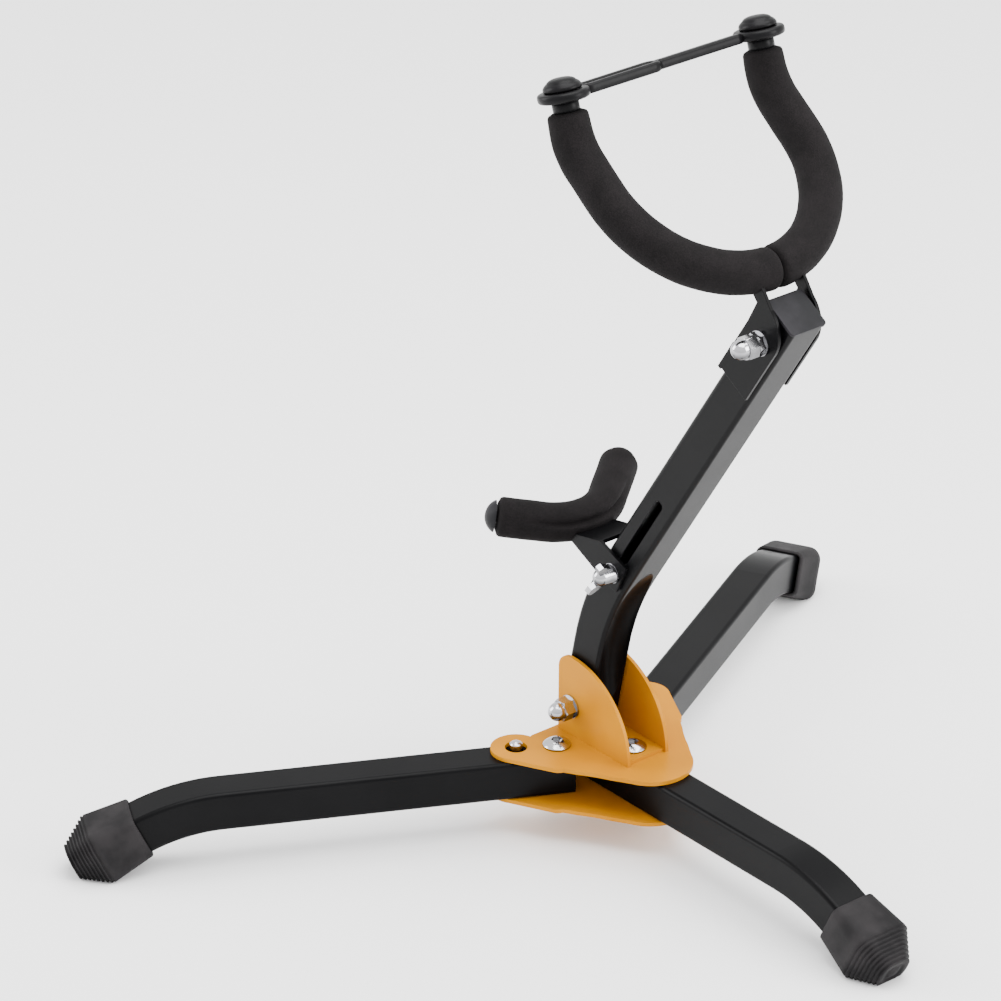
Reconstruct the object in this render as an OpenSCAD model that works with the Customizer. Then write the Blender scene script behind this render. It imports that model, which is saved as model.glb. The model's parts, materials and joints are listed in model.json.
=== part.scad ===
// Folding saxophone stand: three legs on a two-plate hub, a leaning mast, a sliding bell rest
// and a padded yoke with a rubber security strap.
// The origin is on the floor under the middle of the hub. +X runs out along the fixed rear leg,
// +Z is up, and the wing nut and acorn nuts are on the -Y side.
// The player stands at -X: from there the -Y leg is the right one and the +Y leg the left one.

/* [Tube] */
// Width of every square tube
tube_w = 20; // [19:0.5:21]
// Wall of the square tube
tube_t = 1.5; // [1:0.1:2]
// Outside corner radius of the square tube
tube_r = 2.2; // [1.6:0.1:3]

/* [Legs] */
// Height of the leg tubes' centreline above the floor
leg_z = 30; // [30:0.5:33]
// Angle between the rear leg and each swinging leg
leg_spread = 117.5; // [110:0.5:125]
// Straight run of a swinging leg, from its pivot to its bend
swing_run = 163.4; // [120:1:200]
// Straight run of the rear leg, from the origin to its bend
rear_run = 127; // [100:1:160]
// Radius of the legs' bend, on the centreline
leg_bend_r = 93; // [80:1:110]
// Angle of the legs' bend
leg_bend = 25; // [24:0.5:26]

/* [Rubber feet] */
// Half height of a foot at its mouth
foot_mouth = 11.6; // [11.2:0.1:12.5]
// Half height of a foot where its ridges start
foot_flare = 14.6; // [14:0.1:15]
// Length of the smooth flare
foot_flare_len = 22; // [18:1:26]
// Number of stepped ridges on a foot
foot_ridges = 8; // [6:1:9]
// Length of one ridge
foot_ridge_len = 1.8; // [1.5:0.1:2]

/* [Hub] */
// Thickness of the hub plates
plate_t = 2; // [1.5:0.1:2.5]
// Pivot of a swinging leg: distance in front of the origin
pivot_x = 11; // [9:0.5:13]
// Pivot of a swinging leg: distance to the side
pivot_y = 24.6; // [23.5:0.1:27]

/* [Mast] */
// Height of the mast's pivot above the floor
mast_pivot_z = 57.8; // [57.5:0.1:60]
// Distance of the mast's pivot in front of the origin
mast_pivot_x = 14.5; // [13:0.5:16]
// Slope of the mast's short lower part
low_slope = 78; // [74:1:82]
// Slope of the mast's long upper part
high_slope = 57.8; // [54:0.2:62]
// Length from the pivot to the corner where the two slopes meet
low_len = 60.3; // [56:0.1:66]
// Radius of the mast's bend, on the centreline
mast_bend_r = 140; // [120:5:150]
// Length from that corner to the top of the end cap
high_len = 230.6; // [220:0.1:260]

/* [Bell rest] */
// Length from the mast's corner to the bell rest's bolt at its lowest setting
bell_at = 29.6; // [29:0.2:60]
// How far the bell rest slides up
bell_travel = 54; // [40:1:56]

/* [Yoke] */
// Radius of the yoke's rod, on its centreline
yoke_r = 58; // [52:1:64]
// Slope of the yoke's plane, from +X
yoke_slope = 143.5; // [138:0.5:148]
// Diameter of the foam sleeves
foam_d = 20.6; // [18:0.2:20.8]
// Diameter of the rods inside the foam
rod_d = 8; // [6:0.5:9]

/* [Hidden] */
$fn = 48;
eps = 0.05;
seam = 0.002;                         // between a bend and the straight stretch after it
play = 0.15;                          // between a swinging leg and each hub plate
tube_half = tube_w / 2;
base_x = 36.3;                        // from the hub's middle to the middle of the base
top_z = leg_z + tube_half + play;     // underside of the top plate
low_z = leg_z - tube_half - play;     // top of the bottom plate
leg_tail = 7.2;                       // tube behind a swinging leg's pivot
rear_tail = 22;                       // rear tube in front of the origin
foot_grip = 17;                       // tube inside a foot
foot_len = foot_flare_len + foot_ridges * foot_ridge_len;
foot_step = tan(leg_bend) * foot_ridge_len;   // keeps the ridged underside level
lock_x = 19.6;                        // snap button, out from a leg's pivot
lock_y = 2.2;                         // and towards the front
lock_d = 6.2;
hub_bolt_x = 16;                      // button-head bolt in the mast bracket
hub_screw_x = -13;                    // countersunk screw under the mast
m8_head_d = 13.7;
m8_head_h = 3.6;
sheet = 1.8;                          // thickness of the bracket sheets
bracket_z = top_z + plate_t;          // underside of the mast bracket
bracket_gap = 22;                     // between the mast bracket's ears
ear_front = -24;
ear_back = 27.5;
ear_r = 42;
ear_corner_r = 8;
bend_cut = mast_bend_r * tan((low_slope - high_slope) / 2);
mast_tail = 9;                        // mast tube below its pivot
cap_t = 1.4;
leg_scoop_deep = 3.4;
mast_scoop_deep = 7.5;
mast_scoop_turn = 3;                  // where the mast's scoop is deepest, round its bend
slot_w = 5.1;
slot_low = bell_at - 2.6;
slot_len = bell_travel + 5.2;
m5 = 5;
m6 = 6;
bell_gap = 21;                        // between the bell bracket's cheeks
bell_rod = [-8.7, 33.7];              // rod from the bolt: along the mast, and in front of it
bell_rod_d = 6;
bell_foam_d = 18;
bell_bend_r = 24;                     // radius of the bend in the middle of the bell rest
bell_bend = 38;                       // each arm of the bell rest sweeps forward by this angle
bell_arm = [28.6, 36.6];              // straight foam on the right arm and on the left arm
bell_lean = 166.3;                    // slope of the bell rest's plane, from +X
bell_cap_gap = 1;                     // between a foam end and its cap
yoke_pivot = high_len - 17;           // from the mast's corner
yoke_gap = 22.6;                      // between the yoke bracket's cheeks
yoke_rod = [21, 23];                  // rod from the yoke's pivot
yoke_arm = 16.1;
yoke_tip_bend = 35.5;
yoke_tip_r = 30;
yoke_tip = 8;
knob_d = 17.5;
neck_d = 12.6;
neck_h = 5;
ring_d = 24;
ring_h = 4.8;
dome_h = 5.6;
knob_y = yoke_r;

enamel = [0.98, 0.71, 0.16];
black = [0.10, 0.10, 0.10];
rubber = [0.22, 0.21, 0.22];
foam = [0.16, 0.14, 0.14];
steel = [0.80, 0.80, 0.82];

// ---- shared shapes -------------------------------------------------------------------------

// Rectangle with round corners, centred.
module round_rect(w, h, r) {
    square([w - 2 * r, h], center = true);
    square([w, h - 2 * r], center = true);
    for (i = [-1, 1], j = [-1, 1]) translate([i * (w / 2 - r), j * (h / 2 - r)]) circle(r);
}

// The section that run() and turn() sweep: a rod of diameter $w, with a bore of $bore if that is
// more than 0, or where $r is more than 0 a square bar of width $w with that corner radius.
module section() {
    if ($r > 0) round_rect($w, $w, $r);
    else difference() {
        circle(d = $w);
        if ($bore > 0) circle(d = $bore);
    }
}

// A straight stretch along +X; what follows starts at its end. After a bend it starts a hair
// late, so that the two are clean separate solids.
module run(len, late = 0) {
    translate([late, 0, 0]) rotate([90, 0, 90]) linear_extrude(len - late) section();
    translate([len, 0, 0]) children();
}

// A bend towards -Z; what follows starts at its end and heads down.
module turn(r, a) {
    translate([0, 0, -r]) rotate([0, -90, -90]) rotate_extrude(angle = a, $fn = 96)
        translate([r, 0]) section();
    translate([r * sin(a), 0, -r * (1 - cos(a))]) rotate([0, a, 0]) children();
}

// An arc in the XY plane that passes through the origin, from angle from, over angle a.
module flat_arc(r, from, a) translate([r, 0, 0]) rotate([0, 0, from])
    rotate_extrude(angle = a, $fn = 96) translate([r, 0]) section();

// A cylinder along Y, from y0 to y1.
module rod_y(d, y0, y1) translate([0, y0, 0]) rotate([-90, 0, 0]) cylinder(d = d, h = y1 - y0);

module washer(id, od, h) difference() {
    cylinder(d = od, h = h);
    translate([0, 0, -1]) cylinder(d = id, h = h + 2);
}

module hex_prism(af, h) cylinder(d = af / cos(30), h = h, $fn = 6);

// Hexagon with the corners of its free end turned off, as on a real nut.
module hex_body(af, h) intersection() {
    hex_prism(af, h);
    cylinder(d1 = af / cos(30) + 2 * h, d2 = af * 1.04, h = h);
}

module hex_nut(af, h, bore) difference() {
    hex_body(af, h);
    translate([0, 0, -1]) cylinder(d = bore, h = h + 2);
}

// Acorn nut: a hexagon with a ball-ended dome, and a blind bore from below.
module acorn_nut(af, h, bore) difference() {
    union() {
        hex_body(af, h * 0.5);
        cylinder(d = af * 0.92, h = h - af * 0.46);
        translate([0, 0, h - af * 0.46]) sphere(d = af * 0.92);
    }
    translate([0, 0, -1]) cylinder(d = bore, h = h * 0.7 + 1);
}

// Button-head bolt, head up, with a hexagon socket; z = 0 is under the head.
module button_bolt(d, shank, head_d, head_h, socket) difference() {
    union() {
        translate([0, 0, -shank]) cylinder(d = d, h = shank + eps);
        intersection() {
            cylinder(d = head_d, h = head_h);
            translate([0, 0, head_h - dome_ball(head_d, head_h)])
                sphere(r = dome_ball(head_d, head_h), $fn = 96);
        }
    }
    translate([0, 0, head_h * 0.45]) hex_prism(socket, head_h);
}

// Radius of the ball that rounds a head of diameter d from 0.9 mm up to height h.
function dome_ball(d, h) = ((d / 2) * (d / 2) + (h - 0.9) * (h - 0.9)) / (2 * (h - 0.9));

// Places children in a bracket or mast frame: X is along the mast, Y is in front of it.
module mast_frame() translate([-mast_pivot_x, 0, mast_pivot_z]) rotate([0, -low_slope, 0])
    translate([low_len, 0, 0]) rotate([0, low_slope - high_slope, 0]) children();
// In that frame: X along the mast, Z in front of it, Y to the side. A plate between two y.
module cheek(y0, y1) translate([0, y1, 0]) rotate([90, 0, 0]) linear_extrude(y1 - y0) children();

// ---- legs and feet -------------------------------------------------------------------------

// A leg's swept bar, from its tail through its bend into the foot.
module leg_bar(w, r, tail, straight, over = 0) {
    $w = w;
    $r = r;
    translate([-tail - over, 0, 0]) run(tail + straight + over)
        turn(leg_bend_r, leg_bend) run(foot_grip + over, seam);
}

// A disc with a round rim, standing in the XZ plane, whose top is at the origin: it digs the
// pressed scoop on the inside of a bend.
module scoop(disc_r, rim_r, grow) translate([0, 0, -disc_r]) rotate([90, 0, 0])
    rotate_extrude($fn = 96) {
        translate([disc_r - rim_r, 0]) circle(rim_r + grow);
        translate([0, -rim_r - grow]) square([disc_r - rim_r, 2 * (rim_r + grow)]);
    }

// The scoop in the underside of a leg's bend.
module leg_scoop(straight, grow)
    translate([straight, 0, -leg_bend_r]) rotate([0, leg_bend * 0.45, 0])
    translate([0, 0, leg_bend_r - tube_half + leg_scoop_deep]) scoop(34, 7, grow);

module leg_tube(tail, straight) difference() {
    leg_bar(tube_w, tube_r, tail, straight);
    difference() {
        leg_bar(tube_w - 2 * tube_t, tube_r - 1.2, tail, straight, 1);
        leg_scoop(straight, tube_t);
    }
    leg_scoop(straight, 0);
}

// Half heights of a foot along its length: a flare, then stepped ridges.
function foot_profile(k) = concat(
    [[0, foot_mouth * k], [foot_flare_len, foot_flare * k]],
    [for (i = [0 : foot_ridges - 1], j = [0, 1])
        [foot_flare_len + (i + j) * foot_ridge_len, foot_flare * k - (i + 0.55 - 0.3 * j) * foot_step]]
);

module foot_side(k) {
    p = foot_profile(k);
    polygon(concat(p, [for (i = [len(p) - 1 : -1 : 0]) [p[i][0], -p[i][1]]]));
}

// A foot along +X from its mouth, before it is trimmed by the floor.
module foot_form() intersection() {
    rotate([90, 0, 0]) translate([0, 0, -25]) linear_extrude(50) foot_side(1);
    translate([0, 0, -25]) linear_extrude(50) foot_side(1.1);
    rotate([0, 90, 0]) rotate_extrude($fn = 96)
        polygon(concat([[0, 0]], [for (p = foot_profile(1.26)) [p[1], p[0]]], [[0, foot_len]]));
}

// The foot of a leg whose bend starts at x = straight, in the leg's own frame.
module leg_foot(straight) difference() {
    translate([straight + leg_bend_r * sin(leg_bend), 0, -leg_bend_r * (1 - cos(leg_bend))])
        rotate([0, leg_bend, 0]) difference() {
            foot_form();
            translate([-1, 0, 0]) rotate([90, 0, 90]) linear_extrude(foot_grip + 1)
                round_rect(tube_w, tube_w, tube_r);
        }
    translate([straight, -40, -leg_z - 20]) cube([120, 80, 20]);
}

// ---- hub -----------------------------------------------------------------------------------

module at_pivot(side) translate([-pivot_x, side * pivot_y, leg_z]) children();
module swing_frame(side) at_pivot(side) rotate([0, 0, side * leg_spread]) children();
module lock_place(side) swing_frame(side) translate([lock_x, side * lock_y, 0]) children();

// Half of the outline of both hub plates, on the -Y side: half a nose over the rear leg, a
// corner, and a round ear over the snap button of the swinging leg.
module hub_half() {
    difference() {
        union() {
            translate([28.5, 0]) circle(21, $fn = 96);
            polygon([[-26, 0], [-26, -28], [-19, -40], [4, -38], [7, -38], [38, -18.6], [38, 0]]);
            polygon([[-24, -34], [-18.5, -53], [4.6, -41.1], [5, -34]]);
            translate([2.6, -35.2]) circle(6.2);
            lock_spot() circle(12.4);
        }
        translate([65.6, -98.8]) circle(83, $fn = 180);
        translate([-60, 0]) square([140, 60]);
    }
}

// Centre of the -Y leg's snap button, seen from above.
module lock_spot() translate([-pivot_x, -pivot_y]) rotate(-leg_spread)
    translate([lock_x, -lock_y]) children();

module hub_outline() difference() {
    union() {
        hub_half();
        mirror([0, 1]) hub_half();
    }
    for (s = [-1, 1]) translate([-pivot_x, s * pivot_y]) circle(d = 8.1);
    translate([hub_bolt_x, 0]) circle(d = 8.1);
    translate([hub_screw_x, 0]) circle(d = 6.1);
}

module top_plate() color(enamel) translate([0, 0, top_z]) linear_extrude(plate_t) difference() {
    hub_outline();
    lock_spot() circle(d = 10.8);
    mirror([0, 1]) lock_spot() circle(d = 10.8);
}

module bottom_plate() color(enamel)
    translate([0, 0, low_z - plate_t]) linear_extrude(plate_t) hub_outline();

module hub_holes(d) {
    translate([hub_bolt_x, 0, 0]) cylinder(d = d, h = 100, center = true);
    translate([hub_screw_x, 0, 0]) cylinder(d = d, h = 100, center = true);
}

module rear_leg_tube() color(black) difference() {
    translate([0, 0, leg_z]) leg_tube(rear_tail, rear_run);
    hub_holes(11);
}

module rear_foot() color(rubber) translate([0, 0, leg_z]) leg_foot(rear_run);

// Tubes round the two hub bolts, which stop them crushing the rear leg.
module hub_spacers() color(steel) for (x = [hub_bolt_x, hub_screw_x])
    translate([x, 0, low_z]) washer(8.1, 11, top_z - low_z);

module ear_outline() intersection() {
    translate([-mast_pivot_x, bracket_z]) circle(ear_r, $fn = 120);
    union() {
        translate([ear_front, bracket_z]) square([ear_back - ear_front, ear_r - ear_corner_r]);
        translate([ear_front + ear_corner_r, bracket_z]) square([60, ear_r]);
        translate([ear_front + ear_corner_r, bracket_z + ear_r - ear_corner_r - 0.03])
            circle(ear_corner_r);
    }
}

module mast_bracket() color(enamel) difference() {
    union() {
        translate([ear_front, -bracket_gap / 2 - sheet, bracket_z])
            cube([ear_back - ear_front - 1.5, bracket_gap + 2 * sheet, sheet]);
        cheek(-bracket_gap / 2 - sheet, -bracket_gap / 2) ear_outline();
        cheek(bracket_gap / 2, bracket_gap / 2 + sheet) ear_outline();
    }
    translate([hub_bolt_x, 0, bracket_z - 1]) cylinder(d = 8.1, h = 5);
    translate([hub_screw_x, 0, bracket_z - 1]) cylinder(d = 6.1, h = 5);
    translate([hub_screw_x, 0, bracket_z + sheet - 3]) cylinder(d1 = 6, d2 = 12.05, h = 3.02);
    translate([-mast_pivot_x, 0, mast_pivot_z]) rod_y(6.1, -30, 30);
}

module bracket_bolt() color(steel) translate([hub_bolt_x, 0, bracket_z + sheet])
    button_bolt(8, bracket_z + sheet - low_z + plate_t + 7, m8_head_d, m8_head_h, 5);

module bracket_screw() color(steel) translate([hub_screw_x, 0, 0]) {
    translate([0, 0, low_z - plate_t - 6]) cylinder(d = 6, h = bracket_z + sheet - 1 - low_z + plate_t + 6);
    translate([0, 0, bracket_z]) cylinder(d1 = 8.4, d2 = 12, h = sheet);
}

module bracket_nuts() color(steel) translate([0, 0, low_z - plate_t]) mirror([0, 0, 1]) {
    translate([hub_bolt_x, 0, 0]) hex_nut(13, 6.5, 8);
    translate([hub_screw_x, 0, 0]) hex_nut(10, 5, 6);
}

module pivot_bolt(side) color(steel) translate([-pivot_x, side * pivot_y, bracket_z])
    button_bolt(8, bracket_z - low_z + plate_t + 7, m8_head_d, m8_head_h, 5);

module pivot_nut(side) color(steel) translate([-pivot_x, side * pivot_y, low_z - plate_t])
    mirror([0, 0, 1]) hex_nut(13, 6.5, 8);

// Through bolt along Y with a hexagon head on the +Y side; half is the outer face of what it holds.
module cross_bolt(d, af, head_h, half, tail) {
    rod_y(d, -half - tail, half + eps);
    translate([0, half, 0]) rotate([-90, 0, 0]) hex_body(af, head_h);
}

mast_stack = bracket_gap / 2 + sheet;
module at_mast_pivot() translate([-mast_pivot_x, 0, mast_pivot_z]) children();

module mast_pivot_bolt() color(steel) at_mast_pivot() cross_bolt(m6, 10, 4, mast_stack, 7.5);

module mast_pivot_washers() color(steel) at_mast_pivot()
    translate([0, -mast_stack, 0]) rotate([90, 0, 0]) washer(6.4, 12, 1.2);

module mast_acorn_nut() color(steel) at_mast_pivot()
    translate([0, -mast_stack - 1.2, 0]) rotate([90, 0, 0]) acorn_nut(10, 12, m6);

// ---- swinging legs -------------------------------------------------------------------------

module swing_leg_tube(side) color(black) swing_frame(side) difference() {
    leg_tube(leg_tail, swing_run);
    cylinder(d = 11, h = 60, center = true);
    translate([lock_x, side * lock_y, 0]) cylinder(d = 8, h = 20);
}

module swing_foot(side) color(rubber) swing_frame(side) leg_foot(swing_run);

module leg_bush(side) color(steel) at_pivot(side)
    translate([0, 0, -tube_half - play]) washer(8.1, 11, tube_w + 2 * play);

// A domed button with a flange that the tube's wall holds in.
module snap_button(side) color(steel) lock_place(side) difference() {
    union() {
        translate([0, 0, 6.8]) cylinder(d = 11, h = 1.6);
        translate([0, 0, 6.8]) cylinder(d = lock_d, h = 5);
        translate([0, 0, 11.5]) intersection() {
            cylinder(d = lock_d, h = 5);
            sphere(r = 4);
        }
    }
    translate([0, 0, 5]) cylinder(d = 4, h = 5);
}

// Leaf spring, folded to a V, that lifts the snap button.
module lock_spring(side) color(steel) lock_place(side) cheek(-3, 3) polygon([
    [-5, 6.2], [-5, 6.8], [5, 6.8], [34, -7.2], [33.5, -8.4], [-5, -8.4], [-5, -7.8],
    [31, -7.8], [4.6, 6.2]
]);

// ---- mast ----------------------------------------------------------------------------------

// The mast's swept bar, from below its pivot to under its cap.
module mast_bar(w, r, over = 0) {
    $w = w;
    $r = r;
    translate([-mast_pivot_x, 0, mast_pivot_z]) rotate([0, -low_slope, 0])
        translate([-mast_tail - over, 0, 0]) run(mast_tail + low_len - bend_cut + over)
        turn(mast_bend_r, low_slope - high_slope) run(high_len - cap_t - bend_cut + over, seam);
}

// The pressed scoop on the inside of the mast's bend.
module mast_scoop(grow) at_mast_pivot() rotate([0, -low_slope, 0])
    translate([low_len - bend_cut, 0, -mast_bend_r]) rotate([0, mast_scoop_turn, 0])
    translate([0, 0, mast_bend_r - tube_half + mast_scoop_deep]) scoop(80, 8.8, grow);

module mast_tube() color(black) difference() {
    mast_bar(tube_w, tube_r);
    difference() {
        mast_bar(tube_w - 2 * tube_t, tube_r - 1.2, 1);
        mast_scoop(tube_t);
    }
    mast_scoop(0);
    at_mast_pivot() rod_y(9, -30, 30);
    mast_frame() translate([yoke_pivot, 0, 0]) rod_y(9, -30, 30);
    mast_frame() cheek(-20, 20) translate([slot_low + slot_len / 2, 0])
        round_rect(slot_len, slot_w, slot_w / 2 - 0.001);
}

module mast_end_cap() color(rubber) mast_frame() translate([high_len - cap_t, 0, 0]) {
    rotate([90, 0, 90]) linear_extrude(cap_t) round_rect(tube_w + 0.8, tube_w + 0.8, 2);
    translate([-8, 0, 0]) rotate([90, 0, 90]) linear_extrude(8 + eps)
        round_rect(tube_w - 2 * tube_t, tube_w - 2 * tube_t, tube_r - 1.2);
}

module cross_bush(half) difference() {
    rod_y(9, -half, half);
    rod_y(6.1, -half - 1, half + 1);
}

module mast_foot_bush() color(steel) at_mast_pivot() cross_bush(bracket_gap / 2 - 0.1);

module mast_head_bush() color(steel) mast_frame() translate([yoke_pivot, 0, 0])
    cross_bush(yoke_gap / 2 - 0.1);

// ---- bell rest -----------------------------------------------------------------------------

module bell_frame() mast_frame() translate([bell_at, 0, 0]) children();

// Cheek of the bell bracket: X along the mast from the bolt, Y in front of the mast's centreline.
module bell_cheek() polygon([[-12.4, 31.4], [-11, 32.8], [5.8, 14.8], [9.5, -4.9], [-7, -7],
                             [-9.2, 1.1]]);

// The sheet that joins the cheeks and runs out to the rod.
module bell_web() polygon([[5.8, 14.8], [-10.6, 32], [-11.9, 30.7], [4.5, 13.5]]);

// The bell rest's rod, in its own frame: the rod's middle is the origin.
module bell_rod_frame() bell_frame() translate([bell_rod[0], 0, bell_rod[1]])
    rotate([0, high_slope - bell_lean, 0]) children();

// The end of the bell rest's bend on side s, with X out along the arm.
module bell_arm_start(s)
    translate([bell_bend_r * (1 - cos(bell_bend)), s * bell_bend_r * sin(bell_bend), 0])
    rotate([0, 0, s * (90 - bell_bend)]) children();

// Length of the straight foam on side s.
function bell_arm_len(s) = s < 0 ? bell_arm[0] : bell_arm[1];

// The bell rest's bent rod at diameter d: an arc and two arms.
module bell_path(d, bore, over) {
    $w = d;
    $r = 0;
    $bore = bore;
    flat_arc(bell_bend_r, 180 - bell_bend, 2 * bell_bend);
    for (s = [-1, 1]) bell_arm_start(s) run(bell_arm_len(s) + over, seam);
}

module bell_bracket() color(black) bell_frame() difference() {
    union() {
        for (s = [-1, 1]) cheek(s * (bell_gap + sheet) / 2 - sheet / 2,
                                s * (bell_gap + sheet) / 2 + sheet / 2) bell_cheek();
        cheek(-bell_gap / 2 - eps, bell_gap / 2 + eps) bell_web();
    }
    rod_y(m5 + 0.1, -20, 20);
    translate([bell_rod[0], 0, bell_rod[1]]) rod_y(bell_rod_d + 0.1, -20, 20);
}

module bell_rod() color(black) bell_rod_frame() bell_path(bell_rod_d, 0, bell_cap_gap);

module bell_foam() color(foam) difference() {
    bell_rod_frame() bell_path(bell_foam_d, bell_rod_d, 0);
    bell_frame() cheek(-bell_gap / 2, bell_gap / 2) bell_web();
    bell_frame() for (s = [-1, 1]) translate([0, s * (bell_gap + sheet) / 2, 0])
        cheek(-sheet / 2 - 0.3, sheet / 2 + 0.3) bell_cheek();
}

// Domed cap on the end of the bell rest's rod.
module bell_cap(s) color(rubber) bell_rod_frame() bell_arm_start(s)
    translate([bell_arm_len(s) + bell_cap_gap, 0, 0]) rotate([0, 90, 0]) intersection() {
        cylinder(d = 15.4, h = 4.8);
        translate([0, 0, -4.1]) sphere(r = 8.9, $fn = 96);
    }

bell_stack = bell_gap / 2 + sheet;

module bell_bolt() color(steel) bell_frame() cross_bolt(m5, 8, 3.5, bell_stack + 1, 8);

module bell_washers() color(steel) bell_frame() for (s = [-1, 1])
    translate([0, s * (bell_stack + 0.5) + 0.5, 0]) rotate([90, 0, 0]) washer(5.1, 10, 1);

// Wing nut with a closed dome and two slim wings.
module wing_nut() color(steel) bell_frame() translate([0, -bell_stack - 1.05, 0])
    rotate([90, 0, 0]) rotate(6) difference() {
        union() {
            cylinder(d1 = 9.6, d2 = 8.4, h = 6);
            translate([0, 0, 6]) sphere(d = 8.4);
            for (s = [-1, 1]) rotate([90, 0, 0]) linear_extrude(3, center = true)
                polygon([[0, 0.8], [s * 4.4, 0.8], [s * 7.4, 5], [s * 10, 9.6], [s * 8.8, 11.8],
                         [s * 5.8, 11], [s * 3, 6.4], [0, 6]]);
        }
        translate([0, 0, -1]) cylinder(d = m5 + 0.1, h = 9.6);
    }

// ---- yoke ----------------------------------------------------------------------------------

module yoke_frame() mast_frame() translate([yoke_pivot, 0, 0]) children();

// The yoke's rod frame: X runs up the yoke's slope from the rod's lowest point.
module yoke_rod_frame() yoke_frame() translate([yoke_rod[0], 0, yoke_rod[1]])
    rotate([0, high_slope - yoke_slope, 0]) children();

// Where the straight arm of the yoke on side s starts, with X out along it.
module yoke_arm_start(s) translate([yoke_r, s * yoke_r, 0]) children();

// The arm on side s: a straight stretch, then a tip that bends upward.
module yoke_arm_path(s, tip) yoke_arm_start(s) run(yoke_arm)
    turn(yoke_tip_r, yoke_tip_bend) run(tip, seam);

// The end of the foam on side s, with X out along the tip.
module yoke_end(s) yoke_arm_start(s) translate([yoke_arm, 0, 0])
    translate([yoke_tip_r * sin(yoke_tip_bend), 0, -yoke_tip_r * (1 - cos(yoke_tip_bend))])
    rotate([0, yoke_tip_bend, 0]) translate([yoke_tip, 0, 0]) children();

// Cheek of the yoke bracket: X along the mast from the yoke's pivot, Y in front of its centreline.
module yoke_cheek() {
    translate([-32, -9.3]) square([34, 20.9]);
    intersection() {
        translate([2, 7]) circle(16.3, $fn = 96);
        translate([-20, -20]) square([60, 31.6]);
    }
    polygon([[2, 11.6], [17.5, 3], [25, 21], [22, 26], [17.5, 24.5], [14, 12.6]]);
}

module yoke_cheeks(grow) for (s = [-1, 1])
    cheek(s * (yoke_gap + sheet) / 2 - sheet / 2 - grow, s * (yoke_gap + sheet) / 2 + sheet / 2 + grow)
        children();

module yoke_bracket() color(black) yoke_frame() difference() {
    union() {
        yoke_cheeks(0) intersection() {
            yoke_cheek();
            translate([-40, -20]) square([80, 60]);
        }
        cheek(-yoke_gap / 2 - sheet, yoke_gap / 2 + sheet)
            translate([-33, tube_half + eps]) square([18, 2]);
    }
    rod_y(m6 + 0.1, -30, 30);
    translate([yoke_rod[0], 0, yoke_rod[1]]) rod_y(rod_d, -30, 30);
}

module yoke_rod() color(black) yoke_rod_frame() {
    $w = rod_d;
    $r = 0;
    $bore = 0;
    flat_arc(yoke_r, 90, 180);
    for (s = [-1, 1]) yoke_arm_path(s, yoke_tip + neck_h + ring_h + 2);
}

module yoke_foam(s) color(foam) difference() {
    yoke_rod_frame() {
        $w = foam_d;
        $r = 0;
        $bore = rod_d;
        flat_arc(yoke_r, s > 0 ? 90 : 180, 90);
        yoke_arm_path(s, yoke_tip);
    }
    yoke_frame() yoke_cheeks(0.3) yoke_cheek();
}

// Rubber knob: a neck, a groove for the strap's ring, and a mushroom dome.
module knob(s) color(rubber) yoke_rod_frame() yoke_end(s) rotate([0, 90, 0]) difference() {
    union() {
        cylinder(d = neck_d, h = neck_h);
        cylinder(d = 10.4, h = neck_h + ring_h + 1);
        translate([0, 0, neck_h + ring_h]) {
            cylinder(d = knob_d, h = 1.2);
            intersection() {
                cylinder(d = knob_d, h = dome_h);
                translate([0, 0, dome_h - 11]) sphere(r = 11, $fn = 96);
            }
        }
    }
    translate([0, 0, -1]) cylinder(d = rod_d, h = neck_h + ring_h + 3);
}

// Rubber strap: a ring round each knob's groove, a long loop and a bar between them.
module security_strap() color(rubber) yoke_rod_frame() yoke_end(1) translate([neck_h, 0, 0])
    rotate([0, 90, 0]) translate([0, -knob_y, 0]) {
        for (s = [-1, 1]) translate([0, s * knob_y, 0]) difference() {
            cylinder(d = ring_d, h = ring_h);
            translate([0, 0, -1]) cylinder(d = 10.4, h = ring_h + 2);
        }
        translate([0, 0, 0.6]) linear_extrude(ring_h - 1.8) difference() {
            union() {
                translate([0, 17]) square([5, 62], center = true);
                translate([0, -24]) round_rect(12, 50, 4);
            }
            translate([0, -25]) round_rect(4.6, 38, 2.2);
            for (s = [-1, 1]) translate([0, s * knob_y]) circle(d = ring_d - 1);
        }
    }

yoke_stack = yoke_gap / 2 + sheet;

module yoke_bolt() color(steel) yoke_frame() cross_bolt(m6, 10, 4, yoke_stack + 1.2, 11);

module yoke_washers() color(steel) yoke_frame() for (s = [-1, 1])
    translate([0, s * (yoke_stack + 0.6) + 0.6, 0]) rotate([90, 0, 0]) washer(6.4, 12, 1.2);

module yoke_jam_nut() color(steel) yoke_frame()
    translate([0, -yoke_stack - 1.2, 0]) rotate([90, 0, 0]) hex_nut(10, 3.2, m6);

module yoke_acorn_nut() color(steel) yoke_frame()
    translate([0, -yoke_stack - 4.4, 0]) rotate([90, 0, 0]) rotate(20) acorn_nut(10, 12, m6);

// The origin is on the floor, under the middle of the stand's base.
module placed() translate([-base_x, 0, 0]) children();

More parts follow.
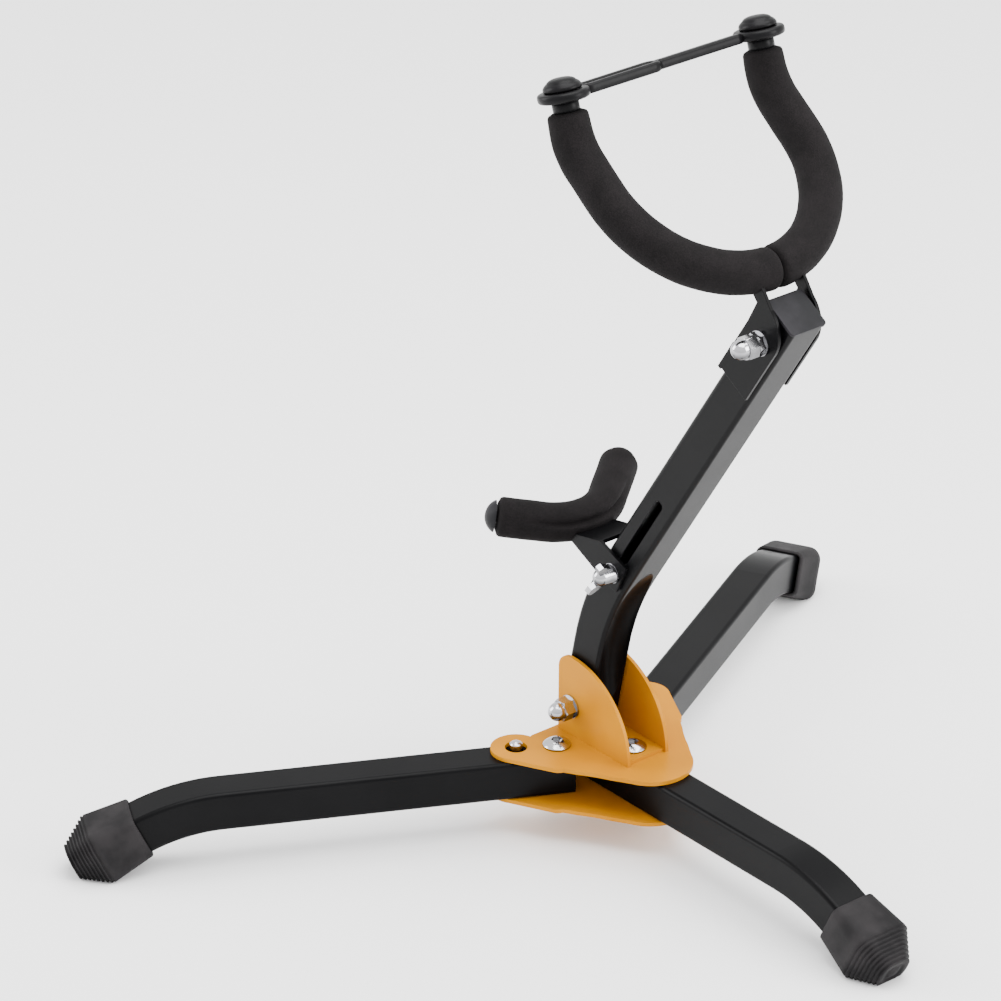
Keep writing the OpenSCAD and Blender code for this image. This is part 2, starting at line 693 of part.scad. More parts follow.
placed() top_plate();
placed() bottom_plate();
placed() rear_leg_tube();
placed() rear_foot();
placed() mast_bracket();
placed() bracket_bolt();
placed() bracket_screw();
placed() bracket_nuts();
placed() hub_spacers();
placed() pivot_bolt(-1);  // right_pivot_bolt
placed() pivot_bolt(1);  // left_pivot_bolt
placed() pivot_nut(-1);  // right_pivot_nut
placed() pivot_nut(1);  // left_pivot_nut
placed() mast_pivot_bolt();
placed() mast_pivot_washers();
placed() mast_acorn_nut();
placed() swing_leg_tube(-1);  // right_leg_tube
placed() swing_foot(-1);  // right_foot
placed() leg_bush(-1);  // right_leg_bush
placed() lock_spring(-1);  // right_lock_spring
placed() snap_button(-1);  // right_snap_button
placed() swing_leg_tube(1);  // left_leg_tube
placed() swing_foot(1);  // left_foot
placed() leg_bush(1);  // left_leg_bush
placed() lock_spring(1);  // left_lock_spring
placed() snap_button(1);  // left_snap_button
placed() mast_tube();
placed() mast_end_cap();
placed() mast_foot_bush();
placed() mast_head_bush();
placed() bell_bracket();
placed() bell_rod();
placed() bell_foam();
placed() bell_cap(-1);  // bell_right_cap
placed() bell_cap(1);  // bell_left_cap
placed() bell_bolt();
placed() bell_washers();
placed() wing_nut();
placed() yoke_bracket();
placed() yoke_rod();
placed() yoke_foam(-1);  // yoke_right_foam
placed() yoke_foam(1);  // yoke_left_foam
placed() knob(-1);  // right_knob
placed() knob(1);  // left_knob
placed() security_strap();
placed() yoke_bolt();
placed() yoke_washers();
placed() yoke_jam_nut();
placed() yoke_acorn_nut();
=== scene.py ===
# %% [markdown]
# A folding saxophone stand, finished in Blender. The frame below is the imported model: every tube,
# plate, bolt and nut is already in place and at its real size. This lesson gives each of them its
# finish, and rebuilds the soft and moulded pieces, which are the foam sleeves, the rubber knobs and
# strap, and the rubber feet.

# %% Load the frame
import bpy
import json
import math
from mathutils import Matrix, Vector, noise


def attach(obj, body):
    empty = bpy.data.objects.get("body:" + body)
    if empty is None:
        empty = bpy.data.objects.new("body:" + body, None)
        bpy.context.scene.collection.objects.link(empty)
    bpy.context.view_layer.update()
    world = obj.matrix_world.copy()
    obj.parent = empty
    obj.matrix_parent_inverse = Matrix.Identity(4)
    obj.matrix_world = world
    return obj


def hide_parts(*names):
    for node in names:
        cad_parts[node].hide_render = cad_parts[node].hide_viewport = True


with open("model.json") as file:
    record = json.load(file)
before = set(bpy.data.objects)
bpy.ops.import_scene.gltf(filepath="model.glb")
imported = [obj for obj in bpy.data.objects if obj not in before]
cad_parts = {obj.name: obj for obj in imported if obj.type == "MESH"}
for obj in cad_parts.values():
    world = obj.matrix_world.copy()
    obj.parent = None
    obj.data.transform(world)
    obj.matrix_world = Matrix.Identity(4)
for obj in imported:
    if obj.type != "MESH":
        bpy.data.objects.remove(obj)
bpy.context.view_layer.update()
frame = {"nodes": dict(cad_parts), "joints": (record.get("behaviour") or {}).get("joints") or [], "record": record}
nodes = frame["nodes"]
joints = {joint["name"]: joint for joint in frame["joints"]}

# %% [markdown]
# The camera stands well back with a long lens, as for a catalogue picture, so that the stand keeps
# its true proportions. It looks down on the stand from its rear right corner.

# %% Camera
MM = 0.001
LENS_MM = 187.5
SENSOR_MM = 36
FROM_HUB = Vector((1642, -1439, 1289)) * MM
AIM_FROM_HUB = Vector((-75, -7, 143)) * MM
ROLL = 0.2
PIVOT_BEFORE_HUB = 11 * MM


def place_camera(position, target, roll):
    """A camera at position that looks at target, turned about its own axis by roll degrees."""
    data = bpy.data.cameras.new("camera")
    data.sensor_width = SENSOR_MM
    data.lens = LENS_MM
    data.clip_end = 50
    camera = bpy.data.objects.new("camera", data)
    bpy.context.scene.collection.objects.link(camera)
    aim = (target - position).to_track_quat("-Z", "Y")
    camera.matrix_world = (Matrix.Translation(position) @ aim.to_matrix().to_4x4()
                           @ Matrix.Rotation(math.radians(roll), 4, "Z"))
    bpy.context.scene.camera = camera
    return camera


hub = Vector((joints["right_leg_swing"]["pos_m"][0] + PIVOT_BEFORE_HUB, 0, 0))
camera = place_camera(hub + FROM_HUB, hub + AIM_FROM_HUB, ROLL)
print("lens", round(camera.data.lens, 1), "mm")

# %% [markdown]
# Plain soft studio light: a wide pale floor, a broad lamp overhead and weaker ones from both sides.
# The rims of the black tubes only read against a pale room, so the world is pale as well.

# %% Studio
LAMP_AIM = Vector((0, 0, 0.15))
WORLD_STRENGTH = 1.7
FLOOR_HALF = 6.0


def softbox(name, place, size, power):
    """A rectangular lamp of size metres and power watts, turned to the middle of the stand."""
    data = bpy.data.lights.new(name, "AREA")
    data.shape = "RECTANGLE"
    data.size, data.size_y = size
    data.energy = power
    lamp = bpy.data.objects.new(name, data)
    bpy.context.scene.collection.objects.link(lamp)
    lamp.location = place
    lamp.rotation_euler = (LAMP_AIM - Vector(place)).to_track_quat("-Z", "Y").to_euler()


softbox("overhead", (0.2, 0.2, 1.9), (1.8, 1.8), 70)
softbox("left_side", (-1.5, -1.3, 0.9), (1.0, 1.4), 34)
softbox("right_side", (1.6, 1.0, 0.9), (0.8, 1.2), 34)

world = bpy.data.worlds.new("room")
world.use_nodes = True
background = world.node_tree.nodes["Background"]
background.inputs["Color"].default_value = (1, 1, 1, 1)
background.inputs["Strength"].default_value = WORLD_STRENGTH
bpy.context.scene.world = world

floor_mesh = bpy.data.meshes.new("floor")
floor_mesh.from_pydata([(x * FLOOR_HALF, y * FLOOR_HALF, 0)
                        for x, y in ((-1, -1), (1, -1), (1, 1), (-1, 1))], [], [(0, 1, 2, 3)])
floor = bpy.data.objects.new("floor", floor_mesh)
bpy.context.scene.collection.objects.link(floor)
print("studio ready")

# %% [markdown]
# Finishes are built from shader nodes. Writing the maths as Python expressions keeps each finish
# readable, so a small class wraps a socket: adding or multiplying two of them adds a Math node.
# A Finish holds one material; its node() method makes any other node.

# %% Shader helpers
class Wire:
    """An output socket that arithmetic can be done on."""

    def __init__(self, finish, socket):
        self.finish = finish
        self.socket = socket

    def maths(self, operation, first, second):
        return self.finish.node("ShaderNodeMath", {"operation": operation}, {0: first, 1: second})

    def __add__(self, other):
        return self.maths("ADD", self, other)

    def __radd__(self, other):
        return self.maths("ADD", other, self)

    def __sub__(self, other):
        return self.maths("SUBTRACT", self, other)

    def __rsub__(self, other):
        return self.maths("SUBTRACT", other, self)

    def __mul__(self, other):
        return self.maths("MULTIPLY", self, other)

    def __rmul__(self, other):
        return self.maths("MULTIPLY", other, self)


class Finish:
    """A material whose Principled shader takes constants and wires."""

    def __init__(self, name, **constants):
        self.material = bpy.data.materials.new(name)
        self.material.use_nodes = True
        self.tree = self.material.node_tree
        self.shader = self.tree.nodes["Principled BSDF"]
        for socket, value in constants.items():
            self.shader.inputs[socket.replace("_", " ")].default_value = value

    def connect(self, socket, value):
        if isinstance(value, Wire):
            self.tree.links.new(value.socket, socket)
        else:
            socket.default_value = value

    def node(self, kind, settings=None, inputs=None, output=0):
        made = self.tree.nodes.new(kind)
        for key, value in (settings or {}).items():
            setattr(made, key, value)
        for key, value in (inputs or {}).items():
            self.connect(made.inputs[key], value)
        return Wire(self, made.outputs[output])

    def drive(self, **sockets):
        """Feeds the shader's sockets, with wires or with constants."""
        for socket, value in sockets.items():
            self.connect(self.shader.inputs[socket.replace("_", " ")], value)

    def place(self):
        return self.node("ShaderNodeTexCoord", output="Object")

    def grain(self, size_mm, detail=2.0, roughness=0.5):
        """Smooth noise with lumps about size_mm long."""
        return self.node("ShaderNodeTexNoise", inputs={
            "Vector": self.place(), "Scale": 1000 / size_mm,
            "Detail": detail, "Roughness": roughness})

    def pores(self, size_mm):
        """Distance from the middle of the nearest cell, with cells about size_mm across."""
        return self.node("ShaderNodeTexVoronoi", {"feature": "F1"}, {
            "Vector": self.place(), "Scale": 1000 / size_mm})

    def ramp(self, value, low, high):
        """Rises smoothly from 0 at low to 1 at high."""
        return self.node("ShaderNodeMapRange", {"interpolation_type": "SMOOTHSTEP"}, {
            "Value": value, "From Min": low, "From Max": high})

    def blend(self, factor, first, second):
        """A colour between two; sockets 6, 7 and 2 are the colour ones of a Mix node."""
        return self.node("ShaderNodeMix", {"data_type": "RGBA"}, {
            "Factor": factor, 6: first, 7: second}, output=2)

    def bump(self, height, depth_mm, strength=1.0):
        return self.node("ShaderNodeBump", inputs={
            "Height": height, "Distance": depth_mm * MM, "Strength": strength})


def rgb(red, green, blue):
    """A colour from sRGB values out of 255."""
    def linear(value):
        value = value / 255
        return value / 12.92 if value <= 0.04045 else ((value + 0.055) / 1.055) ** 2.4
    return (linear(red), linear(green), linear(blue), 1)


# %% [markdown]
# Powder coat is paint baked from dust: it flows into a skin with a faint orange peel, satin rather
# than glossy. Two noises do it, a fine one for the peel and a broad one for patches of sheen.

# %% Black powder coat
def black_coat():
    coat = Finish("black_coat", IOR=1.5, Specular_IOR_Level=0.07)
    peel = coat.grain(1.1, 3)
    patch = coat.grain(38, 2)
    coat.drive(
        Base_Color=coat.blend(coat.ramp(patch, 0.35, 0.65), rgb(5, 5, 6), rgb(8, 8, 9)),
        Roughness=0.26 + 0.1 * patch + 0.05 * peel,
        Normal=coat.bump(peel, 0.02, 0.5))
    return coat.material


# %% [markdown]
# The hub plates and the mast bracket wear a bright enamel. It pools a little as it dries, so its
# colour and sheen drift by a shade, and a thin clear coat lies over it.

# %% Yellow enamel
def yellow_enamel():
    enamel = Finish("yellow_enamel", IOR=1.5, Specular_IOR_Level=0.06, Coat_Roughness=0.12)
    peel = enamel.grain(1.6, 2)
    cloud = enamel.grain(30, 2)
    enamel.drive(
        Base_Color=enamel.blend(enamel.ramp(cloud, 0.3, 0.7),
                                rgb(176, 113, 0), rgb(186, 122, 0)),
        Roughness=0.3 + 0.1 * cloud,
        Coat_Weight=0.02 + 0.03 * cloud,
        Normal=enamel.bump(peel, 0.015, 0.5))
    return enamel.material


# %% [markdown]
# Zinc and chrome plate are mirrors with handling marks. The room is pale all round, where a real
# one has dark corners for a mirror to show, so the sides that face down are toned darker with a
# painted dark reflection.

# %% Plated steel
# How dark the painted reflection on downward faces is, as a share of the plate's colour.
PAINTED_REFLECTION_SHADE = 0.16


def plated_steel(name, colour, rough):
    plate = Finish(name, Metallic=1.0)
    cloud = plate.grain(5, 3)
    fine = plate.grain(0.5, 2)
    upward = plate.node("ShaderNodeSeparateXYZ", inputs={
        0: plate.node("ShaderNodeNewGeometry", output="Normal")}, output="Z")
    # Painted reflection: a dark copy of the plate's colour, mixed in where the surface faces down.
    dark = tuple(PAINTED_REFLECTION_SHADE * part for part in colour[:3]) + (1,)
    plate.drive(
        Base_Color=plate.blend(plate.ramp(upward + 0.5 * cloud, -0.25, 0.85),
                               dark, colour),
        Roughness=rough + 0.08 * cloud,
        Normal=plate.bump(fine, 0.01, 0.25))
    return plate.material


# %% [markdown]
# The foam is a closed-cell sleeve with a skin that has been cut and rubbed: matt, brownish black,
# and pricked with pores a fraction of a millimetre across. The pores are sunken, and painted shade
# darkens them; a second, coarser noise keeps them from looking like a printed pattern.

# %% Foam
def foam_skin():
    foam = Finish("foam_skin", Specular_IOR_Level=0.12)
    cells = foam.pores(0.55)
    fine = foam.grain(0.42, 3, 0.7)
    patch = foam.grain(9, 2)
    # The pores' mask, used both for their sunken bump and for the painted shade in them.
    pore_pit_and_shade = foam.ramp(cells, 0.05, 0.4)
    tone = foam.ramp(0.8 * fine + 0.2 * patch, 0.38, 0.62)
    skin = foam.blend(tone, rgb(9, 8, 8), rgb(25, 22, 23))
    foam.drive(
        # Painted shade: the pores are mixed towards a darker colour, rgb(5, 4, 5).
        Base_Color=foam.blend(pore_pit_and_shade, rgb(5, 4, 5), skin),
        Roughness=0.86 + 0.1 * fine,
        Normal=foam.bump(0.6 * pore_pit_and_shade + 0.5 * fine, 0.1, 0.8))
    return foam.material


# %% [markdown]
# Moulded rubber takes the texture of its mould, a fine spark-eroded grain. The feet are matt and a
# little grey with dust; the strap and knobs are blacker and shine more.

# %% Rubber and plastic
def moulded(name, dark, pale, rough, grain_mm, depth_mm):
    rubber = Finish(name, IOR=1.45, Specular_IOR_Level=0.12)
    grain = rubber.grain(grain_mm, 3, 0.6)
    dust = rubber.grain(16, 3)
    rubber.drive(
        Base_Color=rubber.blend(rubber.ramp(dust, 0.35, 0.7), dark, pale),
        Roughness=rough + 0.12 * grain - 0.06 * dust,
        Normal=rubber.bump(grain, depth_mm, 0.6))
    return rubber.material


# %% [markdown]
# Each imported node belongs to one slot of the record. The finish goes on by slot, so that nothing is
# missed, and each node keeps the shape that it was designed with.

# %% Put the finishes on the nodes
finishes = {
    "enamel": yellow_enamel(),
    "black_coat": black_coat(),
    "foot_rubber": moulded("foot_rubber", rgb(22, 21, 22), rgb(36, 34, 35), 0.62, 0.7, 0.05),
    "cap_plastic": moulded("cap_plastic", rgb(22, 22, 24), rgb(34, 33, 36), 0.45, 0.6, 0.04),
    "foam": foam_skin(),
    "strap_rubber": moulded("strap_rubber", rgb(9, 9, 10), rgb(15, 14, 16), 0.32, 0.6, 0.03),
    "spring_steel": plated_steel("spring_steel", (0.42, 0.42, 0.45, 1), 0.3),
    "bush_steel": plated_steel("bush_steel", (0.62, 0.62, 0.64, 1), 0.26),
    "bright_zinc": plated_steel("bright_zinc", (0.52, 0.52, 0.54, 1), 0.14),
}
slots = {part["node"]: part["material_slot"] for part in frame["record"]["subparts"]}


def paint(piece, slot):
    piece.data.materials.clear()
    piece.data.materials.append(finishes[slot])


for name, node in nodes.items():
    paint(node, slots[name])
print("painted", len(nodes), "nodes with", len(finishes), "finishes")

# %% [markdown]
# No real edge is razor sharp. A Bevel modifier rounds the edges that turn by more than its angle,
# which catches the light along them. The imported mesh is split along its edges, so a Weld joins
# it first, and a Weighted Normal keeps the flat faces looking flat.

# %% Round the edges
WELD_GAP = 0.01 * MM
EDGE_ANGLE = 35
EDGES_MM = {
    "top_plate": 0.45, "bottom_plate": 0.45, "mast_bracket": 0.45, "yoke_bracket": 0.35,
    "bell_bracket": 0.35, "mast_end_cap": 0.5, "bell_right_cap": 0.4, "bell_left_cap": 0.4,
    "wing_nut": 0.45, "mast_acorn_nut": 0.2, "yoke_acorn_nut": 0.2, "yoke_jam_nut": 0.2,
    "bracket_bolt": 0.25, "right_pivot_bolt": 0.25, "left_pivot_bolt": 0.25, "mast_tube": 0.12,
}


def round_edges(piece, width_mm):
    """Rounds the edges of a node that turn by more than EDGE_ANGLE degrees."""
    weld = piece.modifiers.new("weld", "WELD")
    weld.merge_threshold = WELD_GAP
    bevel = piece.modifiers.new("bevel", "BEVEL")
    bevel.width = width_mm * MM
    bevel.segments = 2
    bevel.limit_method = "ANGLE"
    bevel.angle_limit = math.radians(EDGE_ANGLE)
    bevel.use_clamp_overlap = True
    normals = piece.modifiers.new("normals", "WEIGHTED_NORMAL")
    normals.keep_sharp = True


for name, width in EDGES_MM.items():
    round_edges(nodes[name], width)
print("rounded the edges of", len(EDGES_MM), "nodes")

# %% [markdown]
# A sleeve is a tube swept along a path. A small walker lays the path out the way a bending press
# does: straight stretches and arcs, one after another. At each step it keeps the point and two
# directions across the path, so that the tube never twists.

# %% Walk a path
class Walker:
    """Lays out points along a bent rod: each is (place, across, up, distance)."""

    STEP = 1.0 * MM

    def __init__(self, place, along, up):
        self.place = Vector(place)
        self.along = Vector(along).normalized()
        self.up = Vector(up).normalized()
        self.distance = 0.0
        self.points = []
        self.mark()

    def mark(self):
        self.points.append((self.place.copy(), self.along.cross(self.up), self.up.copy(),
                            self.distance))

    def straight(self, length):
        count = max(1, round(length / self.STEP))
        for _ in range(count):
            self.place += self.along * (length / count)
            self.distance += length / count
            self.mark()

    def arc(self, radius, degrees, axis):
        """Turns by an angle about axis, which is square to the path."""
        length = radius * math.radians(abs(degrees))
        count = max(2, round(length / self.STEP))
        each = math.radians(degrees) / count
        chord = 2 * radius * math.sin(abs(each) / 2)
        turn = Matrix.Rotation(each, 3, Vector(axis))
        half = Matrix.Rotation(each / 2, 3, Vector(axis))
        for _ in range(count):
            self.place += (half @ self.along) * chord
            self.along = turn @ self.along
            self.up = turn @ self.up
            self.distance += length / count
            self.mark()


def slope(degrees):
    """A direction in the XZ plane, at an angle above +X."""
    return Vector((math.cos(math.radians(degrees)), 0, math.sin(math.radians(degrees))))


# %% [markdown]
# A foam sleeve follows its rod. Sweeping rings along the rod's path gives the tube, and its radius
# is not quite even: the cut ends are rounded over, and noise a few centimetres long gives the
# slight lumpiness of a sleeve that was pushed on by hand, with a finer noise over it.

# %% Sleeve mesh
FOAM_R = 10.3 * MM
AROUND = 64
SKIN = 0.25 * MM
LUMP, LUMPS_PER_M = 0.22 * MM, 42
DIMPLE, DIMPLES_PER_M = 0.1 * MM, 150


def ring_points(point, radius_at):
    """A ring of AROUND points across the path at one of a walker's points."""
    place, across, up, distance = point
    ring = []
    for i in range(AROUND):
        angle = 2 * math.pi * i / AROUND
        way = across * math.cos(angle) + up * math.sin(angle)
        ring.append(place + way * radius_at(distance, angle, place + way * FOAM_R))
    return ring


def skin_tubes(name, tubes):
    """One mesh object from several tubes, each (rings of points, whether it is a closed loop)."""
    verts, faces = [], []
    for rings, looped in tubes:
        first, count = len(verts), len(rings[0])
        last = first + (len(rings) - 1) * count
        verts += [point for ring in rings for point in ring]
        for here in range(first, last, count):
            for i in range(count):
                j = (i + 1) % count
                faces.append((here + i, here + j, here + count + j, here + count + i))
        if not looped:
            faces.append(tuple(reversed(range(first, first + count))))
            faces.append(tuple(range(last, last + count)))
    mesh = bpy.data.meshes.new(name)
    mesh.from_pydata(verts, [], faces)
    mesh.polygons.foreach_set("use_smooth", [True] * len(faces))
    mesh.update()
    made = bpy.data.objects.new(name, mesh)
    bpy.context.scene.collection.objects.link(made)
    return made


def sleeve(name, points, rod_r, foam_r=FOAM_R, shape=None, end_round=2.4 * MM):
    """A foam sleeve along walker points, drawn in to the rod's radius at both ends."""
    total = points[-1][3]

    def radius_at(distance, angle, spot):
        wobble = (LUMP * noise.noise(spot * LUMPS_PER_M)
                  + DIMPLE * noise.noise(spot * DIMPLES_PER_M))
        radius = foam_r - SKIN + wobble
        if shape:
            radius -= shape(distance, angle)
        gap = min(distance, total - distance)
        if gap < end_round:
            radius -= end_round - math.sqrt(max(0.0, end_round ** 2 - (end_round - gap) ** 2))
        return radius

    rings = [ring_points(point, radius_at) for point in points]
    mouths = [ring_points(point, lambda *_: rod_r) for point in (points[0], points[-1])]
    return skin_tubes(name, [(mouths[:1] + rings + mouths[1:], False)])


# %% [markdown]
# The yoke carries two sleeves that meet at its lowest point. The rod's shape comes from the same
# few dimensions as the design: its radius, the straight part of each arm and the upward bend of
# the tips, and it is placed from the yoke's pivot and the slope of the mast.

# %% Yoke foam
SIDES = ((-1, "right"), (1, "left"))
YOKE_ROD_R = 4 * MM
YOKE_SLOPE = 143.5
YOKE_R = 58 * MM
YOKE_ARM = 16.1 * MM
TIP_R = 30 * MM
TIP_BEND = 35.5
TIP = 8 * MM
YOKE_LOW_ALONG, YOKE_LOW_BEFORE = 21 * MM, 23 * MM
PARTING, PARTING_LEN = 0.9 * MM, 1.6 * MM
SLIM, SLIM_LEN = 1.0 * MM, 26 * MM

slide = Vector(joints["bell_rest_slide"]["axis"])
mast_slope = math.degrees(math.atan2(slide.z, slide.x))
along_mast = slope(mast_slope)
before_mast = slope(mast_slope + 90)
yoke_low = (Vector(joints["yoke_fold"]["pos_m"])
            + along_mast * YOKE_LOW_ALONG + before_mast * YOKE_LOW_BEFORE)
yoke_normal = slope(YOKE_SLOPE - 90)


def yoke_walk(side):
    """The rod from the yoke's lowest point to one tip; side is 1 for left, -1 for right."""
    walk = Walker(yoke_low, (0, side, 0), yoke_normal)
    walk.arc(YOKE_R, 90 * side, yoke_normal)
    walk.straight(YOKE_ARM)
    walk.arc(TIP_R, TIP_BEND, (0, 1, 0))
    walk.straight(TIP)
    return walk


yoke_walks = {side: yoke_walk(side) for side, _ in SIDES}
yoke_foam_len = yoke_walks[1].distance


def yoke_shape(distance, _):
    """The sleeves part a little where they meet, and slim down towards the tips."""
    slim = max(0.0, 1 - (yoke_foam_len - distance) / SLIM_LEN)
    return PARTING * math.exp(-(distance / PARTING_LEN) ** 2) + SLIM * slim ** 1.5


for side, word in SIDES:
    piece = sleeve("yoke_" + word + "_sleeve", yoke_walks[side].points, YOKE_ROD_R,
                   shape=yoke_shape)
    paint(piece, "foam")
    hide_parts("yoke_" + word + "_foam")
    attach(piece, "yoke")
    print(piece.name, len(piece.data.vertices), "vertices")

# %% [markdown]
# A rubber knob sits on each tip of the yoke: a neck, a groove that the strap's ring sits in, and a
# low mushroom top with a soft step round it. It is round, so it is turned as on a lathe: a profile
# of radii and heights is spun about the tip's own axis.

# %% Rubber knobs
KNOB_AROUND = 64
KNOB_MM = [
    (4.1, 0), (5.9, 0), (6.2, 0.3), (6.2, 4.2), (5.7, 4.8), (5.2, 5.1), (5.2, 9.7), (8.1, 9.8),
    (8.7, 10.1), (8.9, 10.7), (8.8, 11.4), (8.5, 12.0), (8.0, 12.6), (7.4, 13.1), (7.0, 13.35),
    (6.75, 13.6), (6.4, 14.05), (5.6, 14.6), (4.4, 15.05), (2.9, 15.3), (1.4, 15.4), (0.3, 15.4),
]


def lathe(name, profile_mm, base, axis):
    """Spins (radius, height) points about an axis that starts at base; closed at both ends."""
    side = axis.orthogonal().normalized()
    other = axis.cross(side)
    turns = [2 * math.pi * i / KNOB_AROUND for i in range(KNOB_AROUND)]
    ways = [side * math.cos(turn) + other * math.sin(turn) for turn in turns]
    rings = [[base + axis * height * MM + way * radius * MM for way in ways]
             for radius, height in profile_mm]
    return skin_tubes(name, [(rings, False)])


for side, word in SIDES:
    tip = yoke_walks[side]
    knob = lathe(word + "_rubber_knob", KNOB_MM, tip.place, tip.along)
    paint(knob, "strap_rubber")
    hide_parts(word + "_knob")
    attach(knob, "yoke")
print("turned two knobs", KNOB_MM[-1][1], "mm high")

# %% [markdown]
# The strap lies flat across the two tips, so its shapes are drawn in a plane of its own: across the
# strap, and along it from tip to tip. A band sweeps a section with soft corners along such a
# drawing, since moulded rubber has no sharp edges.

# %% Strap plane and band
KNOB_NECK_MM = 5
GROOVE_MM = 4.8
BAND_AROUND = 16
ACROSS_Y = Vector((0, 1, 0))
strap_up = yoke_walks[1].along
strap_out = ACROSS_Y.cross(strap_up)
strap_middle = ((yoke_walks[1].place + yoke_walks[-1].place) / 2
                + strap_up * (KNOB_NECK_MM + GROOVE_MM / 2) * MM)


def soft(value):
    """Pushes a sine or cosine outwards, which squares a circle up and leaves its corners round."""
    return math.copysign(abs(value) ** 0.6, value)


def band(centres, wide_mm, thick_mm, looped):
    """Rings of the section along centres, which are (across, along) in mm."""
    rings = []
    count = len(centres)
    for i, (across, along) in enumerate(centres):
        before = centres[(i - 1) % count] if looped or i else centres[0]
        after = centres[(i + 1) % count] if looped or i < count - 1 else centres[-1]
        travel = Vector((after[0] - before[0], after[1] - before[1])).normalized()
        ring = []
        for k in range(BAND_AROUND):
            angle = 2 * math.pi * k / BAND_AROUND
            flat = soft(math.cos(angle)) * wide_mm / 2
            tall = soft(math.sin(angle)) * thick_mm / 2
            ring.append(strap_middle + strap_out * (across + travel.y * flat) * MM
                        + ACROSS_Y * (along - travel.x * flat) * MM + strap_up * tall * MM)
        rings.append(ring)
    return (rings + rings[:1] if looped else rings), looped


# %% [markdown]
# The strap is one moulding: a thick ring round each knob's groove, a long open loop from one ring
# and a plain bar from the other. Each is a band, and they run into each other.

# %% Rubber strap
RING_IN_MM, RING_OUT_MM, RING_THICK_MM = 5.3, 12.0, 4.6
RING_STEPS = 56
LOOP_START_MM, LOOP_END_MM, LOOP_R_MM, LOOP_STEPS = 13.5, -8, 3.5, 10
LOOP_BAR_MM = (4.0, 4.8)
BAR_START_MM, BAR_STEP_MM, BAR_STEPS = -4, 2.5, 21
BAR_MM = (5.2, 4.8)
reach = yoke_walks[1].place.y / MM


def knob_ring(along):
    """A fat ring round the knob that stands at a place along the strap."""
    middle = (RING_IN_MM + RING_OUT_MM) / 2
    turns = [2 * math.pi * i / RING_STEPS for i in range(RING_STEPS)]
    centres = [(middle * math.cos(turn), along + middle * math.sin(turn)) for turn in turns]
    return band(centres, RING_OUT_MM - RING_IN_MM, RING_THICK_MM, True)


def racetrack(low, high, radius):
    """Centres round a long loop between two places along the strap."""
    turns = [math.pi * i / LOOP_STEPS for i in range(LOOP_STEPS + 1)]
    return ([(radius * math.cos(turn), high + radius * math.sin(turn)) for turn in turns]
            + [(-radius * math.cos(turn), low - radius * math.sin(turn)) for turn in turns])


strap = skin_tubes("rubber_strap", [
    knob_ring(-reach), knob_ring(reach),
    band(racetrack(LOOP_START_MM - reach, LOOP_END_MM, LOOP_R_MM), *LOOP_BAR_MM, True),
    band([(0, BAR_START_MM + i * BAR_STEP_MM) for i in range(BAR_STEPS)], *BAR_MM, False)])
paint(strap, "strap_rubber")
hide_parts("security_strap")
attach(strap, "yoke")
print("strap is", round(2 * (reach + RING_OUT_MM)), "mm long")

# %% [markdown]
# The bell rest's sleeve is slit along its underside so that it can be pushed over the rod from
# above, and the slit gapes a little beside the bracket. It shows as a crease.

# %% Bell rest foam
BELL_ROD_R = 3 * MM
BELL_FOAM_R = 9.8 * MM
BELL_SLOPE = 166.3
BELL_BEND_R = 32 * MM
BELL_BEND = 38
RIGHT_ARM, LEFT_ARM = 22.4 * MM, 30.4 * MM
BELL_LOW_ALONG, BELL_LOW_BEFORE, BELL_LIFT = -8.7 * MM, 33.7 * MM, 2.1 * MM
SLIT_ANGLE = math.radians(32)
SLIT_DEEP, SLIT_WIDE = 2.6 * MM, 0.15
SLIT_HALF, SLIT_FADE = 14 * MM, 20 * MM

bell_rise = slope(BELL_SLOPE)
bell_normal = slope(BELL_SLOPE - 90)
bell_bolt_x, _, bell_bolt_z = joints["wing_nut_spin"]["pos_m"]
bell_low = (Vector((bell_bolt_x, 0, bell_bolt_z)) + along_mast * BELL_LOW_ALONG
            + before_mast * BELL_LOW_BEFORE + bell_rise * BELL_LIFT)
bell_middle = RIGHT_ARM + BELL_BEND_R * math.radians(BELL_BEND)


def bell_points():
    """From the right end, along the right arm, round the bend and out to the left end."""
    half = math.radians(BELL_BEND)
    bend_start = (bell_low + bell_rise * BELL_BEND_R * (1 - math.cos(half))
                  - ACROSS_Y * BELL_BEND_R * math.sin(half))
    along = ACROSS_Y * math.cos(half) - bell_rise * math.sin(half)
    walk = Walker(bend_start - along * RIGHT_ARM, along, bell_normal)
    walk.straight(RIGHT_ARM)
    walk.arc(BELL_BEND_R, 2 * BELL_BEND, bell_normal)
    walk.straight(LEFT_ARM)
    return walk.points


def slit(distance, angle):
    """Depth of the crease on the underside, deepest beside the bracket."""
    past = max(0.0, abs(distance - bell_middle) - SLIT_HALF)
    turn = abs((angle - SLIT_ANGLE + math.pi) % (2 * math.pi) - math.pi)
    return SLIT_DEEP * max(0.0, 1 - past / SLIT_FADE) * math.exp(-(turn / SLIT_WIDE) ** 2)


bell_sleeve = sleeve("bell_sleeve", bell_points(), BELL_ROD_R, BELL_FOAM_R, slit,
                     end_round=2.6 * MM)
paint(bell_sleeve, "foam")
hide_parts("bell_foam")
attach(bell_sleeve, "bell_rest")
print(bell_sleeve.name, len(bell_sleeve.data.vertices), "vertices")

# %% [markdown]
# A rubber foot grips the end of a leg. It flares from a plain mouth, then steps down to its tip in
# fine ridges that follow its rounded square section. Each section is a ring: a rectangle with
# round corners. Rings that step in and out make the ridges, and the floor flattens the underside.

# %% Foot sections
LEG_BEND = 25
FLARE_LEN = 22 * MM
FLARE_STEPS = 11
RIDGES = 8
RIDGE_LEN = 1.8 * MM
GRIP_HALF = 10.05 * MM
MOUTH = 11.6 * MM
FLARE = 14.6 * MM
TAPER = math.tan(math.radians(LEG_BEND)) * RIDGE_LEN
WIDER = 1.1
CORNER_STEPS = 8


